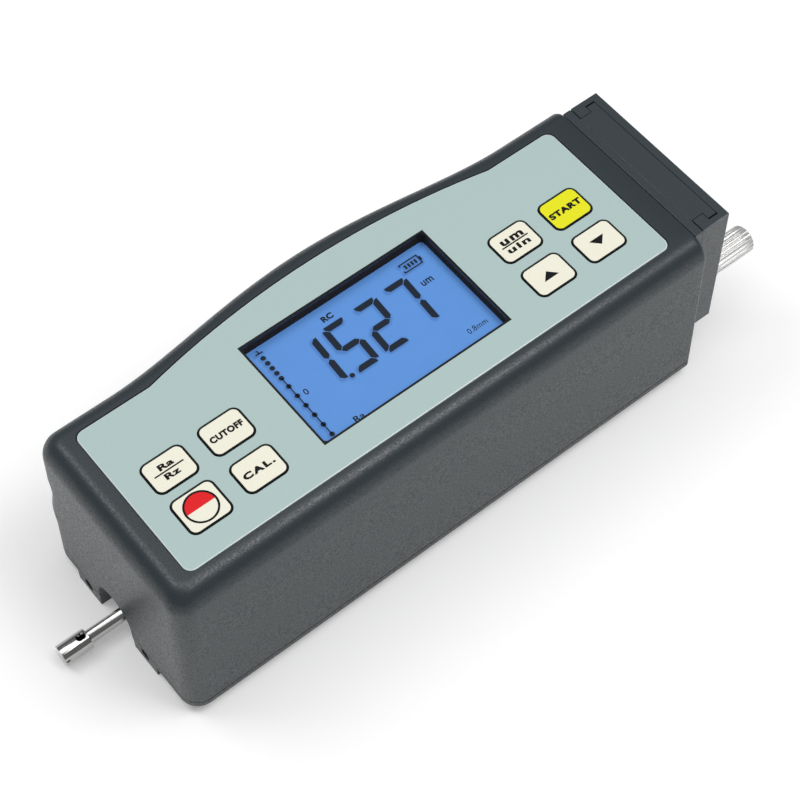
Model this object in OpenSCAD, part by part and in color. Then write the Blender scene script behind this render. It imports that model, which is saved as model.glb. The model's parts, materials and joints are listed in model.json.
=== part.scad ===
// Portable surface roughness tester: a hand-held instrument that drags a stylus over a surface.
// The origin is under the middle of the whole box, on the plane that the feet stand on.
// X runs from the pick-up end to the leg end, Y to the bulged grip side, Z up. Millimetres.

/* [Body] */
// Length of the body at its foot
body_len = 140; // [132:1:160]
// Width of the body at its foot, without the grip bulge
body_w = 52; // [50:1:60]
// Height of the body above its underside
body_h = 44.5; // [43:0.5:56]
// Height of the feet under the body
foot_h = 3.5; // [3.2:0.1:6]
// How far the grip bulges out of the far side
bulge = 5; // [2:0.5:7]
// Length of the grip bulge
bulge_len = 104; // [80:1:112]
// Depth of the finger groove along the grip
groove_d = 0.7; // [0:0.1:0.9]
// How far each long side leans in from foot to top
side_draft = 0.8; // [0:0.1:1.2]
// How far the front face leans back from foot to top
front_draft = 1.3; // [0:0.1:2]
// Width of the rounded top edges
edge_r = 4.3; // [3:0.1:4.4]
// Height of the rounded top edges
edge_h = 5.5; // [3:0.1:7]
// Width of the rounded top edge at the rear
rear_edge = 1.1; // [0.8:0.1:3]
// Radius of the upright corners at the front
corner_r = 4.5; // [3:0.5:6]
// Radius of the upright corners at the rear
rear_corner_r = 1.2; // [0.8:0.1:4]
// Thickness of the housing's side walls
wall = 2; // [1.5:0.1:2.4]
// Thickness of the housing's top wall under the face panel
top_wall = 2; // [1.5:0.1:2.5]

/* [Face panel] */
// Distance from the front of the body to the face panel
panel_front = 8; // [7:0.1:10]
// Distance from the rear of the body to the face panel
panel_rear = 6.4; // [6:0.1:9]
// Distance from each long side of the body to the face panel
panel_side = 6; // [6:0.1:8]
// Thickness of the face panel
panel_t = 0.75; // [0.5:0.05:1.2]
// Corner radius of the face panel
panel_r = 2; // [1:0.5:6]
// Length of the arc in the panel's far edge
panel_arc = 89.6; // [70:1:96]
// Width of the display window, along the body
window_w = 47.8; // [40:0.1:50]
// Depth of the display window, across the body
window_d = 28.8; // [20:0.1:30]
// Width of a key, along the body
key_w = 10.1; // [7:0.1:10.6]
// Depth of a key, across the body
key_d = 8.1; // [5:0.1:8.6]
// Depth of the power key, across the body
power_d = 9.2; // [5:0.1:9.4]
// Key spacing along the body
key_pitch_x = 14; // [12.5:0.1:15]
// Key spacing across the body
key_pitch_y = 11; // [10:0.1:12]
// How far a key stands above the face panel
key_proud = 0.35; // [0.2:0.05:1]
// Travel of a key
key_travel = 0.4; // [0.2:0.05:0.45]

/* [Bottom cover] */
// Thickness of the bottom cover
cover_t = 1.6; // [1.4:0.1:2.2]
// Width of a front foot
front_foot_w = 8.5; // [7:0.1:8.8]
// Length of a front foot
front_foot_len = 20; // [12:1:26]
// Distance between the middles of the two front feet
front_foot_pitch = 21.3; // [21:0.1:22]
// Diameter of the threaded hole in each front foot
foot_hole_d = 2.9; // [2:0.1:3]
// Depth of the threaded hole in each front foot
foot_hole_depth = 10; // [6:0.5:11]

/* [Pick-up and drive] */
// Offset of the pick-up from the middle of the body
pick_y = 2.5; // [1.5:0.1:3]
// Height of the pick-up above the standing plane
pick_h = 3.5; // [3.3:0.1:4]
// How far the pick-up reaches out of the front face
pick_reach = 14.2; // [12:0.1:18]
// Stroke of the drive
stroke = 17.5; // [10:0.5:18]
// Radius of the tunnel that the pick-up runs in
tunnel_r = 6.1; // [6:0.1:6.4]
// Diameter of the skid head
head_d = 4.8; // [4.5:0.1:5]
// Length of the skid head
head_len = 6.8; // [6:0.1:8]
// Diameter of the pick-up's front tube
tube_d = 3.2; // [3:0.1:3.6]
// Diameter of the guide rods
rod_d = 3; // [2:0.1:3.2]
// Diameter of the lead screw's thread
lead_d = 4; // [3.5:0.1:4.4]
// Teeth of the large gear on the lead screw
gear_teeth = 42; // [40:1:44]
// Teeth of the pinion on the motor
pinion_teeth = 20; // [18:1:24]
// Diameter of a battery cell
cell_d = 10.5; // [10:0.1:11]
// Length of a battery cell
cell_len = 44.5; // [40:0.1:45]

/* [Leg] */
// Width of the adjusting leg
leg_w = 43.4; // [40:0.1:45]
// Offset of the leg from the middle of the body
leg_y = 0.7; // [0:0.1:1.5]
// Thickness of the sliding leg
leg_t = 7.5; // [7:0.1:9]
// Height of the leg
leg_h = 37.9; // [34:0.1:40]
// Distance from the top of the body down to the leg
leg_drop = 0.9; // [0.5:0.1:3]
// Thickness of the guide's flange on the rear wall
flange_t = 2; // [1.6:0.1:3]
// Diameter of a thumb screw's knurled head
knob_d = 6.8; // [6:0.1:7]
// Length of a thumb screw's knurled head
knob_len = 12; // [8:0.5:14]
// Distance between the two thumb screws
knob_pitch = 35.6; // [34:0.1:35.6]
// Height of the thumb screws above the leg's lower end
knob_h = 14.8; // [14.6:0.1:20]

/* [Fits] */
// Clearance around a part that is fixed in its seat
fit = 0.02; // [0.01:0.01:0.03]
// Radial clearance of a running fit
run = 0.03; // [0.02:0.01:0.06]
// Gap between flat faces that slide
slide_gap = 0.15; // [0.1:0.01:0.2]
// Gap around the face panel and the keys
panel_gap = 0.2; // [0.15:0.01:0.25]
// Open seam between the housing and the bottom cover
seam = 0.25; // [0.2:0.05:0.4]

/* [Hidden] */
$fn = 48;

// Body faces
front_x = -body_len / 2;
rear_x = body_len / 2;
cover_top = foot_h + cover_t;
rim_z = cover_top + seam;
top_z = foot_h + body_h;
floor_z = top_z - panel_t - 0.05;
ceil_z = floor_z - top_wall;
corner_steps = 8;
edge_steps = 6;
bulge_steps = 24;
bulge_x = 1.2;
groove_z = foot_h + 22;
groove_span = 18;
groove_steps = 8;
floor_sink = 0.3;
floor_bite = 0.6;

// Inside of the housing
cavity_front = front_x + front_draft + wall;
cavity_rear = rear_x - wall;
cavity_near = -body_w / 2 + side_draft + wall + 0.2;
cavity_far = body_w / 2 - side_draft - groove_d - wall + 0.2;
cavity_r = corner_r - wall / 2;
rib_t = 1.2;
rib_h = 2.4;

// Face panel and what lies under it
panel_x0 = front_x + panel_front;
panel_x1 = rear_x - panel_rear;
panel_y = body_w / 2 - panel_side;
panel_mid = (panel_x0 + panel_x1) / 2 + 0.7;
window_x = (panel_x0 + panel_x1) / 2 - 0.28;
window_y = 1.5;
window_r = 0.8;
key_r = 1.7;
keys_front = panel_x0 + 17.6;
keys_rear = panel_x1 - 18.25;
keys_y = -panel_y + 15.95;
key_lip = 0.6;
key_lip_t = 0.8;
key_hang = 0.1;
key_stem_d = 3;
switch_w = 4.5;
switch_t = 1;
switch_gap = key_travel + 0.1;
gasket_t = 0.3;
glass_t = 1.9;
glass_lip = 2.1;
light_t = 3;
glass_top = ceil_z - gasket_t;
light_top = glass_top - glass_t;
board_t = 1.6;
board_top = light_top - light_t;
board_z = board_top - board_t;
board_x0 = front_x + 12.5;
board_x1 = rear_x - 12;
board_y = 21;
board_post_d = 5;
board_posts = [for (x = [board_x0 + 3.5, board_x1 - 4]) for (y = [-18, 15.5]) [x, y]];

// Screws that hold the cover, the board, the drive and the leg guide
cover_screw_d = 2.5;
cover_post_d = 6;
post_inset = 8;
cover_posts = [for (x = [front_x + post_inset, rear_x - post_inset])
    for (y = [-body_w / 2 + 7, body_w / 2 - 5]) [x, y]];
small_screw_d = 2;

// Tunnel and drive
tunnel_z = foot_h + 3.3;
tunnel_wall = 1.2;
tunnel_len = 62;
tunnel_end = front_x + tunnel_len;
frame_t = 2;
frame_len = 61;
frame_inset = 8;
frame_z = tunnel_z + tunnel_r + tunnel_wall + 0.5;
frame_top = frame_z + frame_t;
frame_x0 = front_x + frame_inset;
frame_x1 = frame_x0 + frame_len;
frame_post_d = 5;
frame_post_y = 10.6;
frame_post_front = 12;
frame_post_rear = 11;
frame_posts = [for (x = [frame_x0 + frame_post_front, frame_x1 - frame_post_rear])
    for (s = [-1, 1]) [x, pick_y + frame_post_y * s]];
upright_t = 3;
frame_half = 12.2;
rod_pitch = 6;
carriage_z = frame_top + 2;
carriage_h = 8.8;
drive_z = carriage_z + carriage_h / 2;
carriage_back = 26;
carriage_x = frame_x0 + carriage_back;
carriage_len = 12;
carriage_half = 8.5;
arm_half = 2;
arm_len = 6;
slot_gap = 0.8;
gear_module = 0.5;
gear_t = 3;
gear_x = frame_x1 + 0.8;
motor_y = pick_y - gear_module * (gear_teeth + pinion_teeth) / 2;
motor_len = 25;
motor_w = 12;
motor_h = 10;
motor_shaft_d = 3;
journal_d = 3;
bush_d = 6;
nut_d = 7;

// Pick-up
head_x = front_x - pick_reach;
neck_x = head_x + head_len;
barrel_d = 4.8;
barrel_back = 12;
barrel_x = front_x + barrel_back;
socket_front = 8;
socket_x = carriage_x - socket_front;
socket_len = 14;
socket_half = 4.2;
socket_z = 0.5;
socket_top = 8.5;
barrel_end = socket_x + 10;
tube_bore = 2.4;
pivot_back = 20;
pivot_x = front_x + pivot_back;
arm_d = 1;
pin_d = 0.8;
hub_d = 1.8;
hub_len = 1;
tip_d = 0.5;
tip_x = head_x + 2.2;
tip_low = 0.8;

// Battery compartment and its sliding door
box_wall = 1.2;
contact_t = 0.6;
cell_gap = 0.3;
box_in_len = cell_len + 2 * contact_t + cell_gap;
box_in_w = 2 * cell_d + 3 * cell_gap;
box_x1 = cavity_rear - panel_gap - rib_t - 0.3;
box_x0 = box_x1 - box_in_len - 2 * box_wall;
door_t = 1.3;
door_z = foot_h - door_t - slide_gap;
door_half = box_in_w / 2 + 1.6;
door_x0 = box_x0 - 1;
door_x1 = rear_x - 2.5;
rail_t = 1.2;
rail_lip = 1.2;
rail_z = door_z - slide_gap - 0.7;
cell_z = foot_h + cell_gap + cell_d / 2;
box_roof = cell_z + 1.5 * cell_d + 2 * cell_gap;
rear_foot_x = rear_x - 24;
rear_foot_len = 10;
rear_foot_w = 6;
rear_foot_pitch = 18.5;

// Leg
guide_x = rear_x + flange_t;
leg_x = guide_x + slide_gap;
leg_back = 2;
flange_drop = 0.25;
leg_top = top_z - leg_drop;
leg_z = leg_top - leg_h;
hook = 3.5;
rail_wall = 1.5;
hook_t = 2.9;
thumb_d = 3;
pad_d = 2.6;
pad_t = 0.6;
pad_gap = 0.05;
knob_z = leg_z + knob_h;
knurls = 20;
leg_rear = leg_x + leg_t;
plate_x = leg_rear - leg_back;
tee_rear = plate_x - slide_gap;
tee_side_gap = 0.45;
knob_stand = 0.4;

// Height within the walls as a share, 0 at the foot and 1 at the top
function rise(z) = (z - foot_h) / body_h;

// One wave along the grip: a swelling below and a finger groove above
function grip_wave(z) = abs(z - groove_z) < groove_span / 2
    ? -groove_d * sin(360 * (z - groove_z) / groove_span) : 0;

// Distance of the far wall from the body's middle, without the bulge
function far_wall(z) = body_w / 2 - side_draft * rise(z) + grip_wave(z);

// Share of the bulge at a place along the body, 0 at its ends and 1 in its middle
function bump(x) = let (u = 2 * (x - bulge_x) / bulge_len) abs(u) < 1 ? pow(1 - u * u, 2) : 0;

// Quarter circle of points round a corner's middle
function corner(x, y, r, a) = [for (i = [0:corner_steps])
    [x + r * cos(a + 90 * i / corner_steps), y + r * sin(a + 90 * i / corner_steps)]];

// Rounded rectangle round the origin
function pad_outline(w, d, r) = concat(corner(r - w / 2, r - d / 2, r, 180),
    corner(w / 2 - r, r - d / 2, r, 270), corner(w / 2 - r, d / 2 - r, r, 0),
    corner(r - w / 2, d / 2 - r, r, 90));

// Body outline between four walls, with the bulge in the far one: corner radii at the front and at the rear
function body_outline(x0, x1, y0, y1, r, rr) = concat(corner(x0 + r, y0 + r, r, 180),
    corner(x1 - rr, y0 + rr, rr, 270), corner(x1 - rr, y1 - rr, rr, 0),
    [for (i = [0:bulge_steps]) let (x = bulge_x + bulge_len * (0.5 - i / bulge_steps))
        [x, y1 + bulge * bump(x)]],
    corner(x0 + r, y1 - r, r, 90));

// Outline of the housing at one height, drawn in by an inset
function wall_ring(z, inset) = body_outline(front_x + front_draft * rise(z) + inset,
    rear_x - inset * rear_edge / edge_r, -body_w / 2 + side_draft * rise(z) + inset, far_wall(z) - inset,
    max(corner_r - 0.6 * inset, 0.8), rear_corner_r);

// Outline of the face panel, grown by a gap: an arc stands on the middle of its far edge
panel_circle = (pow(panel_arc / 2, 2) + bulge * bulge) / (2 * bulge);
function panel_outline(g) = concat(
    corner(panel_x0 + panel_r, -panel_y + panel_r, panel_r + g, 180),
    corner(panel_x1 - panel_r, -panel_y + panel_r, panel_r + g, 270),
    corner(panel_x1 - panel_r, panel_y - panel_r, panel_r + g, 0),
    [for (i = [0:bulge_steps]) let (x = panel_arc * (0.5 - i / bulge_steps))
        [panel_mid + x, panel_y + g + bulge - panel_circle + sqrt(panel_circle * panel_circle - x * x)]],
    corner(panel_x0 + panel_r, panel_y - panel_r, panel_r + g, 90));

// Cover outline: the housing's outline at its rim
function cover_outline() = wall_ring(rim_z, 0);

// Outline of the cavity, drawn in by a gap
function cavity_outline(g) = body_outline(cavity_front + g, cavity_rear - g, cavity_near + g,
    cavity_far - g, cavity_r - g / 2, cavity_r - g / 2);

// Places of the eight keys, in the order of their nodes
key_places = [for (k = [keys_front, keys_rear]) for (row = [0.5, -0.5]) for (col = [-0.5, 0.5])
    [k + col * key_pitch_x, keys_y + row * key_pitch_y]];

// Depth of a key, by its place in that order
function key_depth(i) = i == 2 ? power_d : key_d;

// Middle of the whole box, from the pick-up's end to the thumb screws' and from the near wall to the grip
box_mid_x = (head_x + leg_rear + knob_stand + knob_len) / 2;
box_mid_y = (-body_w / 2 + side_draft * rise(rim_z) + bulge
    + max(far_wall(rim_z), far_wall(groove_z - groove_span / 4))) / 2;

// Puts the origin under the middle of the whole box
module placed() {
    translate([-box_mid_x, -box_mid_y, 0]) children();
}

// Lays a shape that was drawn upright along X
module along_x(x, y, z) {
    translate([x, y, z]) rotate([90, 0, 90]) children();
}

// Box between two corners
module block(a, b) {
    translate(a) cube(b - a);
}

// Plate with rounded corners, by its middle, size and height
module pad(x, y, z, w, d, r, h) {
    translate([x, y, z]) linear_extrude(h) polygon(pad_outline(w, d, r));
}

// Pan-head screw with a cross recess, head down at z = 0 and shank upwards
module pan_screw(d, len) {
    head_h = 0.56 * d;
    cross = 0.3 * d;
    difference() {
        translate([0, 0, -head_h]) cylinder(d = 1.9 * d, h = head_h);
        block([-d / 2, -cross / 2, -head_h - 1], [d / 2, cross / 2, -head_h / 2]);
        block([-cross / 2, -d / 2, -head_h - 1], [cross / 2, d / 2, -head_h / 2]);
    }
    cylinder(d = d, h = len);
}

// Arched tunnel section, grown by a wall, from one x to another: a half circle on straight sides
module tunnel(g, x0, x1, low) {
    r = tunnel_r + g;
    along_x(x0, pick_y, tunnel_z) linear_extrude(x1 - x0) {
        intersection() {
            circle(r);
            translate([-r, 0]) square([2 * r, r]);
        }
        translate([-r, low - tunnel_z]) square([2 * r, tunnel_z - low]);
    }
}

// Toothed wheel with straight-sided teeth; the first tooth points at angle a
module toothed(teeth, a, h) {
    r = gear_module * teeth / 2;
    tip = r + 0.85 * gear_module;
    root = r - 1.15 * gear_module;
    tip_half = 0.2 / r * 180 / PI;
    root_half = 0.48 / r * 180 / PI;
    linear_extrude(h) polygon([for (i = [0:teeth - 1]) let (m = a + 360 * i / teeth)
        for (p = [[root, -root_half], [tip, -tip_half], [tip, tip_half], [root, root_half]])
            [p[0] * cos(m + p[1]), p[0] * sin(m + p[1])]]);
}

// Solid outer form of the housing: leaning walls, the grip, rounded top edges and the panel's recess.
// The recess goes on down into the cavity; its floor is a plate of its own.
module housing_form() {
    levels = concat([[rim_z, 0]],
        [for (i = [0:groove_steps]) [groove_z + groove_span * (i / groove_steps - 0.5), 0]],
        [for (i = [0:edge_steps]) let (a = 90 * i / edge_steps)
            [top_z - edge_h * (1 - sin(a)), edge_r * (1 - cos(a))]]);
    recess = panel_outline(panel_gap);
    rings = concat([for (l = levels) [for (p = wall_ring(l[0], l[1])) [p[0], p[1], l[0]]]],
        [for (z = [top_z, ceil_z - 2 * floor_sink]) [for (p = recess) [p[0], p[1], z]]]);
    n = len(rings[0]);
    last = len(rings) - 1;
    points = [for (ring = rings) each ring];
    sides = [for (k = [0:last - 1]) for (i = [0:n - 1]) let (a = k * n + i, b = k * n + (i + 1) % n)
        for (t = [[a, a + n, b + n], [a, b + n, b]]) t];
    foot = [[for (i = [0:n - 1]) i]];
    crown = [[for (i = [n - 1:-1:0]) last * n + i]];
    polyhedron(points, concat(foot, sides, crown), convexity = 6);
}

// Floor of the panel's recess, let into the walls all round
module floor_plate() {
    translate([0, 0, ceil_z - floor_sink]) linear_extrude(top_wall + floor_sink)
        polygon(panel_outline(panel_gap + floor_bite));
}

module housing() {
    color("#3e4247") difference() {
        union() {
            difference() {
                union() {
                    housing_form();
                    floor_plate();
                }
                translate([0, 0, foot_h]) linear_extrude(ceil_z - foot_h) polygon(cavity_outline(0));
            }
            for (p = cover_posts)
                translate([p[0], p[1], cover_top]) cylinder(d = cover_post_d, h = ceil_z - cover_top + 0.5);
            for (p = board_posts)
                translate([p[0], p[1], board_top]) cylinder(d = board_post_d, h = ceil_z - board_top + 0.5);
        }
        pad(window_x, window_y, ceil_z - 1, window_w, window_d, window_r, body_h);
        for (i = [0:len(key_places) - 1])
            pad(key_places[i][0], key_places[i][1], ceil_z - 1, key_w + 2 * panel_gap,
                key_depth(i) + 2 * panel_gap, key_r + panel_gap, body_h);
        for (p = cover_posts)
            translate([p[0], p[1], foot_h]) cylinder(d = cover_screw_d + 2 * fit, h = 14);
        for (p = board_posts)
            translate([p[0], p[1], board_z]) cylinder(d = small_screw_d + 2 * fit, h = board_t + 3.6);
        for (p = guide_holes)
            along_x(cavity_rear - 1, p[0], p[1]) cylinder(d = cover_screw_d + 2 * fit, h = wall + 2);
        tunnel(0, front_x - 1, cavity_front + 1, 0);
    }
}

// Tongue of the cover that reaches up inside the housing's walls
module cover_rib() {
    translate([0, 0, cover_top]) linear_extrude(rib_h) difference() {
        polygon(cavity_outline(panel_gap));
        polygon(cavity_outline(panel_gap + rib_t));
        for (p = cover_posts)
            translate(p) circle(d = cover_post_d + 1);
    }
}

module bottom_cover() {
    color("#4a4d50") difference() {
        union() {
            translate([0, 0, foot_h]) linear_extrude(cover_t) polygon(cover_outline());
            cover_rib();
            tunnel(tunnel_wall, cavity_front + 0.3, tunnel_end + tunnel_wall, foot_h);
            for (p = frame_posts)
                translate([p[0], p[1], cover_top - 0.5])
                    cylinder(d = frame_post_d, h = frame_z - cover_top + 0.5);
            for (s = [-1, 1])
                front_foot(pick_y + s * front_foot_pitch / 2);
            for (s = [-1, 1])
                door_rail(s);
        }
        tunnel(0, front_x - 5, tunnel_end, -1);
        block([carriage_x - arm_len / 2 - slot_gap, pick_y - arm_half - slot_gap, tunnel_z],
            [tunnel_end, pick_y + arm_half + slot_gap, frame_z]);
        block([box_x0 + box_wall, pick_y - box_in_w / 2, -1],
            [box_x1 - box_wall, pick_y + box_in_w / 2, cover_top + 1]);
        for (p = cover_posts)
            translate([p[0], p[1], 0]) cylinder(d = cover_screw_d + 2 * fit, h = 12);
        for (p = frame_posts)
            translate([p[0], p[1], cover_top + 1]) cylinder(d = small_screw_d + 2 * fit, h = frame_z);
        for (s = [-1, 1])
            along_x(front_x - 1, pick_y + s * front_foot_pitch / 2, foot_h - 0.5)
                cylinder(d = foot_hole_d, h = foot_hole_depth + 1);
    }
}

// Front foot under the cover, flush with the cover's front edge
module front_foot(y) {
    lean = front_draft * rise(rim_z);
    block([front_x + lean, y - front_foot_w / 2, 0],
        [front_x + lean + front_foot_len, y + front_foot_w / 2, foot_h + cover_t / 2]);
}

// Rail that the battery door slides in, on one side of it
module door_rail(s) {
    web = door_half + slide_gap;
    ends = [[pick_y + s * web, pick_y + s * (web + rail_t)],
        [pick_y + s * (web - rail_lip), pick_y + s * web]];
    block([door_x0, min(ends[0]), rail_z], [door_x1, max(ends[0]), foot_h + cover_t / 2]);
    block([door_x0, min(ends[1]), rail_z], [door_x1, max(ends[1]), door_z - slide_gap]);
}

module cover_screws() {
    color("#2b2d30") for (p = cover_posts)
        translate([p[0], p[1], foot_h]) pan_screw(cover_screw_d, 12);
}

module rear_feet() {
    color("#222426") for (s = [-1, 1])
        pad(rear_foot_x + rear_foot_len / 2, pick_y + s * rear_foot_pitch, 0, rear_foot_len, rear_foot_w,
            1.5, foot_h);
}

module battery_door() {
    grips = 4;
    color("#4a4d50") difference() {
        block([door_x0, pick_y - door_half, door_z], [door_x1, pick_y + door_half, door_z + door_t]);
        for (i = [0:grips - 1])
            block([door_x0 + 4 + 2 * i, pick_y - 6, door_z - 1],
                [door_x0 + 5 + 2 * i, pick_y + 6, door_z + 0.5]);
    }
}

module battery_box() {
    half = box_in_w / 2;
    color("#1f2123") difference() {
        block([box_x0, pick_y - half - box_wall, cover_top],
            [box_x1, pick_y + half + box_wall, box_roof + box_wall]);
        block([box_x0 + box_wall, pick_y - half, cover_top - 1],
            [box_x1 - box_wall, pick_y + half, box_roof]);
    }
}

// Middles of the four cells, across and up
cell_places = [for (s = [-1, 1]) for (k = [0, 1])
    [pick_y + s * (cell_d + cell_gap) / 2, cell_z + k * (cell_d + cell_gap)]];
cell_x = box_x0 + box_wall + contact_t + cell_gap / 2;

module battery_cells() {
    nub_len = 1;
    color("#c8a24a") for (p = cell_places)
        along_x(cell_x, p[0], p[1]) {
            cylinder(d = cell_d, h = cell_len - nub_len);
            translate([0, 0, cell_len - nub_len]) cylinder(d = 3.8, h = nub_len);
        }
}

module battery_contacts() {
    plate_w = cell_d - 2;
    color("#c9ccd0") for (p = cell_places)
        for (x = [box_x0 + box_wall, box_x1 - box_wall - contact_t])
            block([x, p[0] - plate_w / 2, p[1] - plate_w / 2],
                [x + contact_t, p[0] + plate_w / 2, p[1] + plate_w / 2]);
}

module face_panel() {
    color("#b3c9c5") translate([0, 0, floor_z]) linear_extrude(panel_t) difference() {
        polygon(panel_outline(0));
        translate([window_x, window_y]) polygon(pad_outline(window_w, window_d, window_r));
        for (i = [0:len(key_places) - 1])
            translate(key_places[i])
                polygon(pad_outline(key_w + 2 * panel_gap, key_depth(i) + 2 * panel_gap,
                    key_r + panel_gap));
    }
}

// Display: a gasket under the top wall, the glass and the light behind it
module lcd_gasket() {
    color("#15171a") difference() {
        pad(window_x, window_y, glass_top, window_w + 2 * glass_lip, window_d + 2 * glass_lip, window_r,
            gasket_t);
        pad(window_x, window_y, glass_top - 1, window_w, window_d, window_r, gasket_t + 2);
    }
}

module lcd_glass() {
    color("#6296df")
        pad(window_x, window_y, light_top, window_w + 2 * glass_lip, window_d + 2 * glass_lip, window_r,
            glass_t);
}

module lcd_backlight() {
    color("#dfe9f5")
        pad(window_x, window_y, board_top, window_w + 2 * glass_lip, window_d + 2 * glass_lip, window_r,
            light_t);
}

// Key cap with a lip that holds it under the top wall and a stem above its switch
module key(i, shade) {
    p = key_places[i];
    depth = key_depth(i);
    lip_top = ceil_z - key_hang;
    stem_z = board_top + switch_t + 0.5 + switch_gap;
    color(shade) {
        pad(p[0], p[1], lip_top, key_w, depth, key_r, floor_z + panel_t + key_proud - lip_top);
        pad(p[0], p[1], lip_top - key_lip_t, key_w + 2 * key_lip, depth + 2 * key_lip, key_r, key_lip_t);
        translate([p[0], p[1], stem_z]) cylinder(d = key_stem_d, h = lip_top - stem_z - key_lip_t / 2);
    }
}

module key_parameter() { key(0, "#eeeddc"); }
module key_cutoff() { key(1, "#eeeddc"); }
module key_power() { key(2, "#eeeddc"); }
module key_calibrate() { key(3, "#eeeddc"); }
module key_units() { key(4, "#eeeddc"); }
module key_start() { key(5, "#e8e80f"); }
module key_up() { key(6, "#eeeddc"); }
module key_down() { key(7, "#eeeddc"); }

module key_switches() {
    color("#2a2c2f") for (p = key_places) {
        pad(p[0], p[1], board_top, switch_w, switch_w, 0.4, switch_t);
        translate([p[0], p[1], board_top + switch_t]) cylinder(d = 2.2, h = 0.5);
    }
}

module main_board() {
    color("#1e6b3c") difference() {
        block([board_x0, -board_y, board_z], [board_x1, board_y, board_top]);
        for (p = board_posts)
            translate([p[0], p[1], board_z - 1]) cylinder(d = small_screw_d + 2 * fit, h = board_t + 2);
    }
}

module board_screws() {
    color("#c9ccd0") for (p = board_posts)
        translate([p[0], p[1], board_z]) pan_screw(small_screw_d, board_t + 3);
}

// Frame of the drive: a base plate with an upright at each end
module drive_frame() {
    upright_z = drive_z + 7;
    color("#a9adb2") difference() {
        union() {
            block([frame_x0, pick_y - frame_half, frame_z], [frame_x1, pick_y + frame_half, frame_top]);
            block([frame_x0, pick_y - carriage_half, frame_z],
                [frame_x0 + upright_t, pick_y + carriage_half, upright_z]);
            block([frame_x1 - upright_t, motor_y - motor_w / 2, frame_z],
                [frame_x1, pick_y + carriage_half, upright_z]);
        }
        block([carriage_x - arm_len / 2 - slot_gap, pick_y - arm_half - slot_gap, frame_z - 1],
            [carriage_x + stroke + arm_len / 2 + slot_gap, pick_y + arm_half + slot_gap, frame_top + 1]);
        for (s = [-1, 1])
            along_x(frame_x0 - 1, pick_y + s * rod_pitch, drive_z)
                cylinder(d = rod_d + 2 * fit, h = frame_x1 - frame_x0 + 2);
        along_x(frame_x0 - 1, pick_y, drive_z) cylinder(d = bush_d + 2 * fit, h = frame_x1 - frame_x0 + 2);
        along_x(frame_x1 - upright_t - 1, motor_y, drive_z)
            cylinder(d = motor_shaft_d + 1, h = upright_t + 2);
        for (p = frame_posts)
            translate([p[0], p[1], frame_z - 1]) cylinder(d = small_screw_d + 2 * fit, h = frame_t + 2);
    }
}

module frame_screws() {
    color("#c9ccd0") for (p = frame_posts)
        translate([p[0], p[1], frame_top]) mirror([0, 0, 1]) pan_screw(small_screw_d, frame_t + 5);
}

module guide_rods() {
    color("#d5d8dc") for (s = [-1, 1])
        along_x(frame_x0, pick_y + s * rod_pitch, drive_z) cylinder(d = rod_d, h = frame_x1 - frame_x0);
}

module lead_screw() {
    inner = frame_x1 - frame_x0 - 2 * upright_t - 2 * run;
    color("#b9bdc2") along_x(frame_x0, pick_y, drive_z) {
        cylinder(d = journal_d, h = gear_x + gear_t - frame_x0);
        translate([0, 0, upright_t + run]) cylinder(d = lead_d, h = inner);
    }
}

module screw_bushes() {
    color("#c79a3c") for (x = [frame_x0, frame_x1 - upright_t])
        along_x(x, pick_y, drive_z) difference() {
            cylinder(d = bush_d, h = upright_t);
            translate([0, 0, -1]) cylinder(d = journal_d + 2 * run, h = upright_t + 2);
        }
}

module drive_gear() {
    color("#e6e2d6") along_x(gear_x, pick_y, drive_z) difference() {
        toothed(gear_teeth, 180, gear_t);
        translate([0, 0, -1]) cylinder(d = journal_d + 2 * fit, h = gear_t + 2);
    }
}

module motor_pinion() {
    inset = upright_t + 2;
    color("#c79a3c") {
        along_x(gear_x, motor_y, drive_z) toothed(pinion_teeth, 180 / pinion_teeth, gear_t);
        along_x(frame_x1 - inset, motor_y, drive_z)
            cylinder(d = motor_shaft_d, h = gear_x - frame_x1 + inset);
    }
}

module gear_motor() {
    face_x = frame_x1 - upright_t;
    case_len = 10;
    color("#8d9196") difference() {
        union() {
            block([face_x - case_len, motor_y - motor_w / 2, drive_z - motor_h / 2],
                [face_x, motor_y + motor_w / 2, drive_z + motor_h / 2]);
            intersection() {
                along_x(face_x - motor_len, motor_y, drive_z)
                    cylinder(d = motor_w, h = motor_len - case_len);
                block([face_x - motor_len - 1, motor_y - motor_w, drive_z - motor_h / 2],
                    [face_x, motor_y + motor_w, drive_z + motor_h / 2]);
            }
        }
        along_x(face_x - 3, motor_y, drive_z) cylinder(d = motor_shaft_d + 2 * run, h = 4);
    }
}

module carriage() {
    color("#a9adb2") difference() {
        union() {
            block([carriage_x - carriage_len / 2, pick_y - carriage_half, carriage_z],
                [carriage_x + carriage_len / 2, pick_y + carriage_half, carriage_z + carriage_h]);
            block([carriage_x - arm_len / 2, pick_y - arm_half, socket_top],
                [carriage_x + arm_len / 2, pick_y + arm_half, carriage_z + 1]);
        }
        for (s = [-1, 1])
            along_x(carriage_x - carriage_len, pick_y + s * rod_pitch, drive_z)
                cylinder(d = rod_d + 2 * run, h = 2 * carriage_len);
        along_x(carriage_x - carriage_len, pick_y, drive_z)
            cylinder(d = nut_d + 2 * fit, h = 2 * carriage_len);
    }
}

module drive_nut() {
    color("#c79a3c") along_x(carriage_x - carriage_len / 2, pick_y, drive_z) difference() {
        cylinder(d = nut_d, h = carriage_len);
        translate([0, 0, -1]) cylinder(d = lead_d + 2 * run, h = carriage_len + 2);
    }
}

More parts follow.
